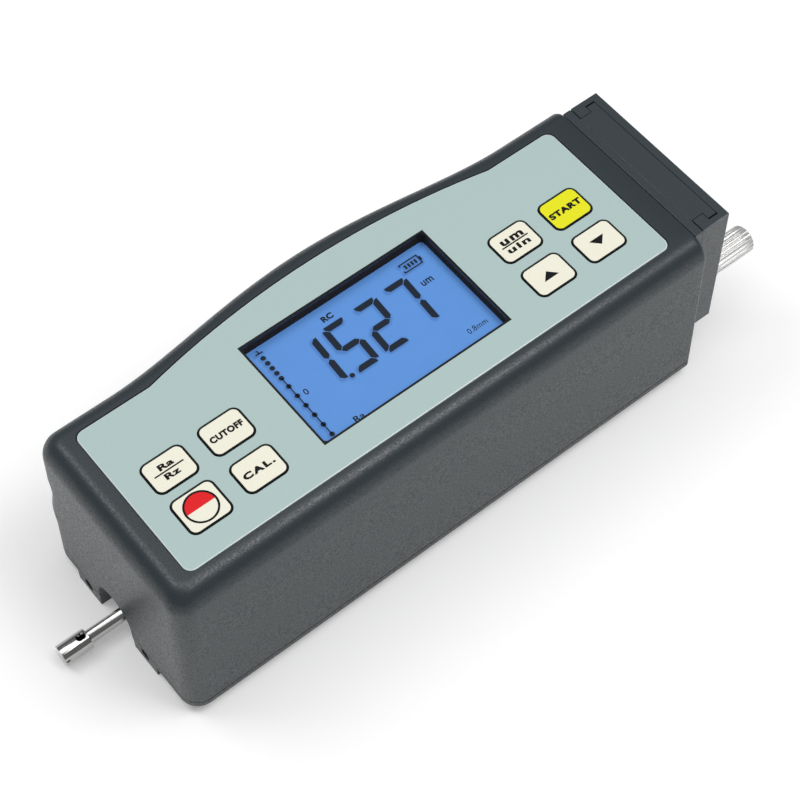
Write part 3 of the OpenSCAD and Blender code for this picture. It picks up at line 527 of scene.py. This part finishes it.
def softened(node, width, materials=None, turn=30, inner=None, boxy=True):
    """A copy of a solid with flat faces joined and each edge sharper than a turn rounded by a width in mm.

    A second material goes on the rounds. Edges that touch an inner box, if one is given, stay sharp. A boxy
    piece is shaded flat, a turned one smooth."""
    mesh = frame["nodes"][node].data.copy()
    mesh.name = node + "_soft"
    work = bmesh.new()
    work.from_mesh(mesh)
    bmesh.ops.remove_doubles(work, verts=work.verts, dist=WELD * MM)
    if boxy:
        bmesh.ops.dissolve_limit(work, angle_limit=math.radians(FLAT_TURN), verts=work.verts, edges=work.edges)
    sharp = np.array([e.calc_face_angle(0.0) for e in work.edges]) > math.radians(turn)
    work.to_mesh(mesh)
    work.free()
    if inner is not None:
        points, ends = np.zeros(3 * len(mesh.vertices)), np.zeros(2 * len(mesh.edges), np.int32)
        mesh.vertices.foreach_get("co", points)
        mesh.edges.foreach_get("vertices", ends)
        places = (points.reshape(-1, 3) / MM - MIDDLE)[ends.reshape(-1, 2)]
        sharp &= ~np.all((places > inner[0]) & (places < inner[1]), axis=2).any(1)
    weights = mesh.attributes.new("bevel_weight_edge", "FLOAT", "EDGE")
    weights.data.foreach_set("value", sharp.astype(np.float32))
    piece = bpy.data.objects.new(node + "_soft", mesh)
    bpy.context.scene.collection.objects.link(piece)
    materials = materials or [finish_of[slot_of[node]]]
    dress(piece, materials, BOX_TURN if boxy else turn)
    bevel = piece.modifiers.new("soft_edges", "BEVEL")
    bevel.width, bevel.segments = width * MM, 2
    bevel.limit_method = "WEIGHT"
    bevel.harden_normals = not boxy
    bevel.material = len(materials) - 1
    return settle(piece, body_of[node], node)


EDGES = {"bottom_cover": 0.25, "battery_door": 0.2, "rear_feet": 0.35, "skid_head": 0.1, "pickup_tube": 0.1,
         "pickup_socket": 0.2, "cover_screws": 0.08}
TURNED = ("skid_head", "pickup_tube", "cover_screws")
for node, width in EDGES.items():
    softened(node, width, boxy=node not in TURNED)

# %% Leg with painted highlights on its edges
LEG_EDGE, LEG_SKIN, FAR_OFF = 0.22, 0.5, 99
leg_low, leg_high = box_mm("leg_channel")
leg_looks = [finish_of["leg_plastic"], leg_painted_highlight]
softened("leg_guide", LEG_EDGE, leg_looks,
         inner=([leg_low[0] + LEG_SKIN, -FAR_OFF, -FAR_OFF], [FAR_OFF] * 3))
softened("leg_channel", LEG_EDGE, leg_looks,
         inner=([-FAR_OFF, leg_low[1] + LEG_SKIN, -FAR_OFF],
                [leg_high[0] - LEG_SKIN, leg_high[1] - LEG_SKIN, FAR_OFF]))
print("softened", len(EDGES) + 2)

# %% [markdown]
# ## Face panel
# The panel is a printed plate let into the housing. Its cut edge shows as a bright line, so its outer edge
# gets a fine round in a paler colour, a painted highlight. A black border is printed round the display
# window: where a place lies less than half a millimetre outside the window, the ink shows.

# %% Panel with a printed border
BORDER, PANEL_EDGE, PANEL_RIM, FAR_RIM = 0.5, 0.2, 2.2, 17.8
panel_film, panel_shader, place = start_finish("panel_film")
fleck = place.noise(0.0004, 3.0)
split = place.tree.nodes.new("ShaderNodeSeparateXYZ")
place.tree.links.new(place.socket, split.inputs[0])
across, along = Wire(place.tree, split.outputs[0]), Wire(place.tree, split.outputs[1])
outside = (across - (WINDOW_X + MIDDLE[0]) * MM).size() - WINDOW_W / 2 * MM
outside = outside.larger((along - (WINDOW_Y + MIDDLE[1]) * MM).size() - WINDOW_D / 2 * MM)
border = outside < BORDER * MM
film = fleck.between(tone((0.41, 0.535, 0.52)), tone((0.44, 0.565, 0.55)))
set_finish(panel_shader, {
    "Base Color": border.between(film, tone((0.006, 0.005, 0.006))),
    "Specular IOR Level": 0.3,
    "Roughness": 0.34 + 0.12 * fleck,
    "Normal": fleck.raised(0.000008, 0.3)})
# Painted highlight: the paler colour on the panel's rounded outer edge stands in for light on that edge
panel_painted_highlight = printed("panel_painted_highlight", (0.80, 0.88, 0.87), 0.3)
softened("face_panel", PANEL_EDGE, [panel_film, panel_painted_highlight],
         inner=(panel_low + [PANEL_RIM, PANEL_RIM, -1], [panel_high[0] - PANEL_RIM, FAR_RIM, FAR_OFF]))

# %% [markdown]
# ## Keys
# Each key is a cap with a lip under the housing's top and a stem above its switch. The cap is a stack of
# rounded rectangles: stem, lip, wall, a small round and the flat top. The outermost faces are printed
# black, which draws the dark line that frames every key.

# %% Caps
KEY_LINE, KEY_ROUND, KEY_SINK = 0.36, 0.1, 0.2
LIP_DEPTH, LIP_GAP = 0.8, 0.1
stem, lip_top = 3.0, CEILING - LIP_GAP
ease = np.linspace(0, np.pi / 2, 5)
draw = KEY_ROUND * (1 - np.cos(ease))
for k in KEYS:
    low, high = box_mm(k)
    w, d = key_size[k]
    widths = [stem, stem, w + 2 * KEY_LIP, w + 2 * KEY_LIP, w, *(w - 2 * draw), w - 2 * KEY_LINE]
    depths = [stem, stem, d + 2 * KEY_LIP, d + 2 * KEY_LIP, d, *(d - 2 * draw), d - 2 * KEY_LINE]
    radii = [stem / 2, stem / 2, KEY_CORNER, KEY_CORNER, KEY_CORNER, *(KEY_CORNER - draw), KEY_CORNER - KEY_LINE]
    cap_top = high[2] - KEY_SINK
    steps = [low[2], lip_top - LIP_DEPTH, lip_top - LIP_DEPTH, lip_top, lip_top,
             *(cap_top - KEY_ROUND * (1 - np.sin(ease))), cap_top]
    rows = post_rows(key_middle[k], widths, depths, radii, steps)
    faces = closed_faces(*rows.shape[:2])
    inked = np.ones(len(faces), int)
    inked[-1] = 0
    cap = put(k + "_cap", rows.reshape(-1, 3), faces, [finish_of[slot_of[k]], ink], inked)
    settle(cap, k, k)
print("key caps", len(KEYS))

# %% [markdown]
# ## Key labels
# The labels are printed. Text in Blender is a curve, so it is turned into a mesh first, stretched to the
# width and height of the print, and laid on the cap as a film a few hundredths of a millimetre thick.

# %% Lettering as a thin film
FILM = 0.02


def lettering(name, text, middle, width, height, z, body, material, bold=0.06, spread=1.15):
    """A line of text as a closed film: its own box is stretched to width by height about its middle."""
    curve = bpy.data.curves.new(name, "FONT")
    curve.body, curve.extrude, curve.offset, curve.resolution_u = text, 0.01, bold, 4
    curve.space_character = spread
    source = bpy.data.objects.new(name + "_curve", curve)
    bpy.context.scene.collection.objects.link(source)
    mesh = bpy.data.meshes.new_from_object(source.evaluated_get(bpy.context.evaluated_depsgraph_get()))
    bpy.data.objects.remove(source)
    co = np.zeros(len(mesh.vertices) * 3)
    mesh.vertices.foreach_get("co", co)
    co = co.reshape(-1, 3)
    low, high = co.min(0), co.max(0)
    share = (co - low) / (high - low) - [0.5, 0.5, 0.5]
    co = share * [width, height, FILM] + [middle[0], middle[1], z] + MIDDLE
    mesh.vertices.foreach_set("co", (co * MM).ravel())
    piece = bpy.data.objects.new(name, mesh)
    bpy.context.scene.collection.objects.link(piece)
    dress(piece, [material])
    return settle(piece, body)


def film_shape(name, outline_points, z, body, material):
    """A flat outline as a closed film."""
    ring = np.asarray(outline_points, float)
    rows = np.stack([np.column_stack([ring, np.full(len(ring), h)]) for h in (z - FILM / 2, z + FILM / 2)])
    return settle(put(name, rows.reshape(-1, 3), closed_faces(2, len(ring)), [material]), body)


# %% Labels, bars and arrows: text, height on the key, width, height, letter spacing, weight
key_top = cap_top + FILM / 2
THIN, BOLD = 0.042, 0.06
LABELS = (("key_parameter", "Ra", 1.35, 3.5, 1.5, 1.05, THIN), ("key_parameter", "Rz", -1.15, 3.5, 1.5, 1.05, THIN),
          ("key_cutoff", "CUTOFF", 0.0, 7.95, 1.6, 1.12, BOLD), ("key_calibrate", "CAL.", 0.0, 7.45, 1.6, 1.3, BOLD),
          ("key_units", "um", 1.15, 5.8, 1.5, 1.2, THIN), ("key_units", "uin", -1.2, 5.8, 1.6, 1.2, THIN),
          ("key_start", "START", 0.0, 8.5, 1.6, 1.12, BOLD))
BAR_HALF, BAR_THIN, ARROW_HALF, MARK_UP = 3.5, 0.17, 1.93, 0.08
for k, text, up, width, height, spread, bold in LABELS:
    name = "label_" + text.strip(".").lower()
    lettering(name, text, key_middle[k] + [0, up], width, height, key_top, k, ink, bold, spread)
corners = np.array([(-1, -1), (1, -1), (1, 1), (-1, 1)])
for k in ("key_parameter", "key_units"):
    bar = key_middle[k] + [0, MARK_UP] + corners * [BAR_HALF, BAR_THIN]
    film_shape("bar_" + k, bar, key_top, k, ink)
for k, up in (("key_up", 1.0), ("key_down", -1.0)):
    x, y = key_middle[k]
    arrow = [(x - ARROW_HALF * up, y - up), (x + ARROW_HALF * up, y - up), (x, y + up)]
    film_shape("arrow_" + k, arrow, key_top, k, ink)

# %% Power mark: a ring, one half of it filled red
MARK_R, MARK_LINE = 3.75, 0.46
x, y = key_middle["key_power"] + [0, MARK_UP]
half_turn = np.linspace(0, np.pi, 49)[:, None]
film_shape("power_half", [x, y] + (MARK_R - MARK_LINE) * np.hstack([np.cos(half_turn), np.sin(half_turn)]),
           key_top, "key_power", red_ink)
turn = np.linspace(0, 2 * np.pi, 96, endpoint=False)
profile = np.array([[MARK_R, -0.5], [MARK_R, 0.5], [MARK_R - MARK_LINE, 0.5], [MARK_R - MARK_LINE, -0.5]])
ring = np.stack([x + profile[:, :1] * np.cos(turn), y + profile[:, :1] * np.sin(turn),
                 key_top + FILM * profile[:, 1:] + 0 * turn], -1)
settle(put("power_ring", ring.reshape(-1, 3), grid_faces(4, len(turn), True), [ink]), "key_power")
print("labels", len(LABELS))

# %% [markdown]
# ## Display
# The glass glows blue and its segments are dark shapes just inside it, which throw a soft shadow on the
# lit layer behind. The segments are films, so they stay crisp from any distance. The shadow is a value
# on the points of the glass: it falls off with the distance to the nearest segment, moved a little.

# %% Strokes of the display, in millimetres
DIGIT_X, DIGIT_PITCH = -11.95, 8.07
DIGIT_W, DIGIT_HIGH, DIGIT_MID, DIGIT_LOW = 4.82, 10.23, 4.16, -1.77
SEGMENTS = {"a": (0, 2, 1, 2, 1, 1), "b": (1, 2, 1, 1, 1, 0), "c": (1, 1, 1, 0, 0, 1), "d": (0, 0, 1, 0, -1, -1),
            "e": (0, 1, 0, 0, 0, -1), "f": (0, 2, 0, 1, -1, 0), "g": (0, 1, 1, 1, 0, 0)}
SHOWN = ("bc", "afgcd", "abged", "abc")
LEVELS = np.array([DIGIT_LOW, DIGIT_MID, DIGIT_HIGH])
strokes = []
for i, letters in enumerate(SHOWN):
    left = DIGIT_X + DIGIT_PITCH * i - DIGIT_W / 2
    for letter in letters:
        x0, y0, x1, y1, *mitres = SEGMENTS[letter]
        strokes.append((left + DIGIT_W * x0, LEVELS[y0], left + DIGIT_W * x1, LEVELS[y1], 0.74, 0.11, *mitres))
scale_x = -20.08
dots_y = [*np.arange(12.86, 6.2, -1.58), *np.arange(4.0, -11.0, -2.93)]
bars = [(scale_x, dots_y[4], scale_x, dots_y[-1], 0.13)]
bars += [(scale_x - 0.9, 14.3, scale_x + 0.9, 14.3, 0.16), (scale_x, 14.2, scale_x, 15.2, 0.13)]
left_x, right_x, low_y, high_y = 16.45, 21.05, 11.42, 13.75
middle_y = (low_y + high_y) / 2
bars += [(left_x - 0.15, y, right_x + 0.15, y, 0.15) for y in (low_y, high_y)]
bars += [(left_x, low_y, left_x, low_y + 0.5, 0.15), (left_x, high_y - 0.5, left_x, high_y, 0.15)]
bars += [(right_x, low_y, right_x, high_y, 0.15)]
uprights = [(right_x + 0.35, 0.2)] + [(x, 0.26) for x in (17.4, 18.28, 19.16, 20.04)]
bars += [(x, middle_y - 0.55, x, middle_y + 0.55, thick) for x, thick in uprights]
strokes = np.array(strokes + [(*bar, 0, 0, 0) for bar in bars])
print("display strokes", len(strokes))

# %% Segment films
SLANT = math.tan(math.radians(2.9))
glass_low, glass_high = box_mm("lcd_glass")
film_z = glass_high[2] + FILM / 2
start, end, half, gap = strokes[:, 0:2], strokes[:, 2:4], strokes[:, 4:5], strokes[:, 5:6]
reach = end - start
length = np.linalg.norm(reach, axis=1, keepdims=True)
ahead = reach / length
beside = np.column_stack([-ahead[:, 1], ahead[:, 0]])
mitre_a, mitre_b = strokes[:, 6:7], strokes[:, 7:8]
tip = np.where(gap > 0, half, 0.0)
outer_tip = -0.2 * tip
left_a, right_a = np.where(mitre_a > 0, outer_tip, tip), np.where(mitre_a < 0, outer_tip, tip)
left_b, right_b = np.where(mitre_b > 0, outer_tip, tip), np.where(mitre_b < 0, outer_tip, tip)
a, b = start + ahead * gap, end - ahead * gap
hexagon = np.stack([a, a + ahead * right_a - beside * half, b - ahead * right_b - beside * half,
                    b, b - ahead * left_b + beside * half, a + ahead * left_a + beside * half], 1)
hexagon[..., 0] += SLANT * (hexagon[..., 1] - DIGIT_MID) * (gap > 0)
layers = np.stack([np.concatenate([hexagon, np.full((*hexagon.shape[:2], 1), h)], -1)
                   for h in (film_z - FILM / 2, film_z + FILM / 2)], 1)
segment_faces = [np.asarray(f) + 12 * i for i in range(len(strokes)) for f in closed_faces(2, 6)]
settle(put("display_segments", layers.reshape(-1, 3), segment_faces, [segment_ink]), "body")

DOT_R, POINT = 0.58, (-8.23, -2.0)
spots = np.array([[scale_x, y] for y in dots_y] + [POINT])
spot_r = np.full(len(spots), DOT_R)
round_turn = np.linspace(0, 2 * np.pi, 24, endpoint=False)
disc = spots[:, None] + spot_r[:, None, None] * np.stack([np.cos(round_turn), np.sin(round_turn)], -1)
layers = np.stack([np.concatenate([disc, np.full((*disc.shape[:2], 1), h)], -1)
                   for h in (film_z - FILM / 2, film_z + FILM / 2)], 1)
dot_faces = [np.asarray(f) + 48 * i for i in range(len(spots)) for f in closed_faces(2, 24)]
settle(put("display_dots", layers.reshape(-1, 3), dot_faces, [segment_ink]), "body")
SMALL_TEXT = (
    ("display_mode", "RC", (-3.52, 12.77), 2.77, 1.55, 0.05),
    ("display_unit", "um", (18.73, 6.9), 2.9, 1.35, 0.02),
    ("display_length", "0.8mm", (19.64, -8.63), 5.0, 1.4, 0.0),
    ("display_zero", "0", (-18.1, 0.77), 1.0, 1.55, 0.01),
    ("display_value", "Ra", (-13.35, -10.9), 2.45, 1.55, 0.02))
for name, text, place_mm, width, height, bold in SMALL_TEXT:
    lettering(name, text, place_mm, width, height, film_z, "body", segment_ink, bold, 1.05)

# %% Glass with the shadow of its segments
cells_x, cells_y = 240, 150
gx = np.linspace(glass_low[0], glass_high[0], cells_x)
gy = np.linspace(glass_low[1], glass_high[1], cells_y)
px, py = np.meshgrid(gx, gy, indexing="ij")
shift, SHADOW_SOFT = np.array([-0.28, -0.2]), 0.35
where = np.stack([px, py], -1).reshape(-1, 1, 2) - shift
lean = SLANT * (where[..., 1] - DIGIT_MID) * (gap[:, 0] > 0)
upright = where - np.stack([lean, 0 * lean], -1)
inset = (tip / length)[:, 0]
share = np.clip(((upright - start) * reach).sum(-1) / (length[:, 0] ** 2), inset, 1 - inset)
away = np.linalg.norm(upright - start - share[..., None] * reach, axis=-1) - half[:, 0]
dot_away = np.linalg.norm(where - spots, axis=-1) - spot_r
nearest = np.minimum(away.min(1), dot_away.min(1))
shade = np.exp(-(np.maximum(nearest, 0) / SHADOW_SOFT) ** 2)
top = np.stack([px, py, np.full_like(px, glass_high[2])], -1)
index = np.arange(cells_x * cells_y).reshape(cells_x, cells_y)
quads = np.stack([index[:-1, :-1], index[1:, :-1], index[1:, 1:], index[:-1, 1:]], -1).reshape(-1, 4)
border_loop = np.concatenate([index[:-1, 0], index[-1, :-1], index[:0:-1, -1], index[0, :0:-1]])
under = top.reshape(-1, 3)[border_loop] * [1, 1, 0] + [0, 0, glass_low[2]]
below = cells_x * cells_y + np.arange(len(border_loop))
skirt = np.stack([below, np.roll(below, -1), np.roll(border_loop, -1), border_loop], -1)
points = np.concatenate([top.reshape(-1, 3), under])
glass_material, glass_shader, place = start_finish("display_blue")
shadow = place.make("ShaderNodeAttribute", {"attribute_name": "shadow"}, {}, 2)
cloud = place.noise(0.004)
lit = cloud.between(tone((0.104, 0.272, 0.655)), tone((0.112, 0.284, 0.675)))
blue = (0.5 * shadow).between(lit, tone((0.05, 0.13, 0.36)))
set_finish(glass_shader, {"Base Color": blue, "Emission Color": blue, "Emission Strength": 0.08,
                          "Roughness": 0.16 + 0.06 * cloud})
glass = put("display_glass", points, [*quads, *skirt, below[::-1]], [glass_material])
mark = glass.data.attributes.new("shadow", "FLOAT", "POINT")
mark.data.foreach_set("value", np.concatenate([shade, np.zeros(len(under))]).astype(np.float32))
settle(glass, "body", "lcd_glass")
print("display glass", len(points), "points")

# %% [markdown]
# ## Thumb screws
# A thumb screw is turned from bar and knurled: straight grooves run along its head. Its surface is a
# radius that depends on the place along the axis and on the angle. The grooves are narrow dips, a raised
# cosine to a high power, and they fade out at the chamfers.


# %% Knurled heads
GROOVES, GROOVE_DEPTH = 20, 0.3
HEAD_LENGTH, SHANK_R = 12.0, 1.5


def thumb_screw(node):
    """Radius along the axis from a profile, less a dip at each groove times how far the knurl is cut."""
    low, high = box_mm(node)
    middle = (low + high) / 2
    radius = (high[1] - low[1]) / 2
    head, shank = high[0] - HEAD_LENGTH, SHANK_R
    profile = np.array([
        [low[0], shank - 0.2, 0], [low[0] + 0.2, shank, 0], [head, shank, 0], [head, radius - 0.55, 0],
        [head + 0.5, radius - 0.02, 1], [head + 3.0, radius, 1], [high[0] - 3.0, radius, 1],
        [high[0] - 0.5, radius - 0.02, 1], [high[0] - 0.15, radius - 0.35, 0.4], [high[0], radius - 0.6, 0]])
    angle = np.linspace(0, 2 * np.pi, GROOVES * 12, endpoint=False)
    dip = (0.5 + 0.5 * np.cos(GROOVES * angle)) ** 3
    r = profile[:, 1:2] - GROOVE_DEPTH * profile[:, 2:3] * dip
    x = profile[:, :1] + 0 * angle
    rows = np.stack([x, middle[1] + r * np.cos(angle), middle[2] + r * np.sin(angle)], -1)
    piece = put(node + "_knurled", rows.reshape(-1, 3), closed_faces(*rows.shape[:2]),
                [finish_of["knurled_aluminium"]])
    settle(piece, body_of[node], node)


for node in ("thumb_screw_near", "thumb_screw_far"):
    thumb_screw(node)

# %% [markdown]
# ## Everything else
# The pieces inside keep their solids. They still get the finish of their slot, so that nothing is a flat
# colour if the instrument is opened.

# %% Finishes on the remaining solids
kept = [n for n, o in frame["nodes"].items() if not o.hide_render]
for n in kept:
    frame["nodes"][n].data.materials.clear()
    frame["nodes"][n].data.materials.append(finish_of[slot_of[n]])
print("solids kept", len(kept))

# %% [markdown]
# ## Camera, floor and light
# The picture looks down on the near front corner with a long lens. The studio is white: a pale floor, a
# large soft light overhead and two smaller ones, which draw the bright lines on the rounded edges. The
# floor glows a little, so that it stays white in the shade without lighting up the walls too much.

# %% Camera
LENS, SENSOR = 93.88, 36.0
EYE = Vector((MIDDLE + [-143.65, -193.27, 405.17]) * MM)
AIM = Vector((MIDDLE + [3.772, -2.392, 24.0]) * MM)
ROLL = math.radians(-0.865)
camera_data = bpy.data.cameras.new("camera")
camera_data.lens, camera_data.sensor_width = LENS, SENSOR
camera_data.clip_start, camera_data.clip_end = 0.01, 20.0
camera = bpy.data.objects.new("camera", camera_data)
bpy.context.scene.collection.objects.link(camera)
camera.location = EYE
camera.rotation_mode = "QUATERNION"
camera.rotation_quaternion = (AIM - EYE).to_track_quat("-Z", "Y") @ Quaternion((0, 0, 1), ROLL)
bpy.context.scene.camera = camera

# %% Floor
FLOOR_HALF = 3.0
floor_mesh = bpy.data.meshes.new("floor")
corners = FLOOR_HALF * np.array([[-1, -1, 0], [1, -1, 0], [1, 1, 0], [-1, 1, 0]])
floor_mesh.from_pydata(corners.tolist(), [], [[0, 1, 2, 3]])
floor = bpy.data.objects.new("floor", floor_mesh)
bpy.context.scene.collection.objects.link(floor)
pale = printed("pale_floor", (0.84, 0.84, 0.84), 0.8)
set_finish(pale.node_tree.nodes["Principled BSDF"],
           {"Emission Color": tone((1.0, 1.0, 1.0)), "Emission Strength": 0.24})
floor_mesh.materials.append(pale)


# %% Lights
def soft_light(name, place_m, aim_m, size, power):
    """A square area light that faces a point."""
    data = bpy.data.lights.new(name, "AREA")
    data.shape, data.size, data.energy = "SQUARE", size, power
    light = bpy.data.objects.new(name, data)
    light.location = place_m
    light.rotation_mode = "QUATERNION"
    light.rotation_quaternion = (Vector(aim_m) - Vector(place_m)).to_track_quat("-Z", "Y")
    bpy.context.scene.collection.objects.link(light)


TARGET = (0, 0, 0.03)
soft_light("overhead", (0.04, -0.04, 1.03), TARGET, 0.7, 3.7)
soft_light("near_side", (0.30, -0.34, 0.86), TARGET, 0.4, 3.2)
soft_light("front_side", (-0.30, 0.40, 0.84), TARGET, 0.4, 2.2)
world = bpy.data.worlds.new("studio")
bpy.context.scene.world = world
world.use_nodes = True
world.node_tree.nodes["Background"].inputs["Color"].default_value = (1.0, 1.0, 1.0, 1.0)
world.node_tree.nodes["Background"].inputs["Strength"].default_value = 0.2
bpy.context.scene.view_settings.view_transform = "Standard"
